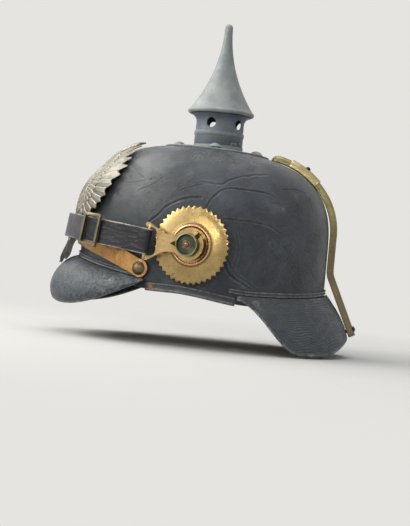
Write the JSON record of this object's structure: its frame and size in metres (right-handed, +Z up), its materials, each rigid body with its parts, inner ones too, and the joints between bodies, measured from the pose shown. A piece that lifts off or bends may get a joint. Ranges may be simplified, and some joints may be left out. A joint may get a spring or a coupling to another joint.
{
  "type": "spiked leather parade helmet",
  "caption": "Tall-spiked leather military helmet with visor, neck guard, eagle front plate, toothed side rosettes, brass rear spine and leather chinstrap.",
  "frame": {"origin": "on the spike's axis, at the level of the rim behind the ears", "axes": "+Z up the spike, -Y to the front (visor), +X to the wearer's left"},
  "size_m": [0.2, 0.2456, 0.2551],
  "materials": {
    "shell_leather": "satin black leather with wear",
    "edge_leather": "satin black leather",
    "visor_leather": "crackled and faded black leather",
    "liner_leather": "plain brown leather",
    "grey_paint": "matt grey paint",
    "aged_brass": "dull aged brass",
    "inner_brass": "dull brass",
    "dark_metal": "dark steel",
    "silvered_metal": "worn silvered sheet metal",
    "bronzed_metal": "dark greenish bronzed brass",
    "gilt_brass": "bright gilt brass",
    "strap_leather": "worn black leather",
    "buckle_metal": "dull grey brass"
  },
  "bodies": {
    "helmet": {"shell": "shell_leather", "edge_binding": "edge_leather", "front_visor": "visor_leather", "neck_guard": "visor_leather", "front_piping": "edge_leather", "rear_piping": "edge_leather", "sweatband": "liner_leather", "liner_tongues": "liner_leather", "base_plate": "grey_paint", "bayonet_pins": "grey_paint", "base_studs": "grey_paint", "stud_washers": "inner_brass", "rear_spine": "aged_brass", "spine_screw": "dark_metal", "spine_nut": "inner_brass", "front_plate": "silvered_metal", "plate_posts": "inner_brass", "plate_nuts": "inner_brass", "left_side_post": "bronzed_metal", "right_side_post": "bronzed_metal", "post_nuts": "inner_brass", "front_band": "aged_brass", "band_studs": "aged_brass"},
    "spike": {"spike_cone": "grey_paint", "spike_neck": "grey_paint"},
    "vent": {"vent_slide": "aged_brass", "slide_knob": "dark_metal"},
    "strap": {"left_strap_fitting": "gilt_brass", "right_strap_fitting": "gilt_brass", "chinstrap": "strap_leather", "left_strap_loop": "strap_leather", "right_strap_loop": "strap_leather"},
    "left_buckle_body": {"left_buckle": "buckle_metal"},
    "right_buckle_body": {"right_buckle": "buckle_metal"},
    "left_rosette_body": {"left_rosette": "gilt_brass"},
    "right_rosette_body": {"right_rosette": "gilt_brass"}
  },
  "joints": [
    {"name": "spike_turn", "type": "hinge", "parent": "helmet", "child": "spike", "pos_m": [0, 0, 0.12], "axis": [0, 0, 1], "range_deg": [0, 26]},
    {"name": "vent_slide_travel", "type": "hinge", "parent": "helmet", "child": "vent", "pos_m": [0, 0.0358, 0.0513], "axis": [-1, 0, 0], "range_deg": [0, 7]},
    {"name": "strap_swing", "type": "hinge", "parent": "helmet", "child": "strap", "pos_m": [0, -0.00907, 0.0383], "axis": [-1, 0, 0], "range_deg": [0, 45]},
    {"name": "left_buckle_slide", "type": "hinge", "parent": "strap", "child": "left_buckle_body", "pos_m": [0, -0.02732, 0.03627], "axis": [0, 0.1219, 0.9925], "range_deg": [0, 18]},
    {"name": "right_buckle_slide", "type": "hinge", "parent": "strap", "child": "right_buckle_body", "pos_m": [0, -0.02732, 0.03627], "axis": [0, -0.1219, -0.9925], "range_deg": [0, 18]},
    {"name": "left_rosette_turn", "type": "hinge", "parent": "helmet", "child": "left_rosette_body", "pos_m": [0.08272, -0.0067, 0.0383], "axis": [0.9703, -0.2419, 0], "continuous": true},
    {"name": "right_rosette_turn", "type": "hinge", "parent": "helmet", "child": "right_rosette_body", "pos_m": [-0.08272, -0.0067, 0.0383], "axis": [-0.9703, -0.2419, 0], "continuous": true}
  ]
}
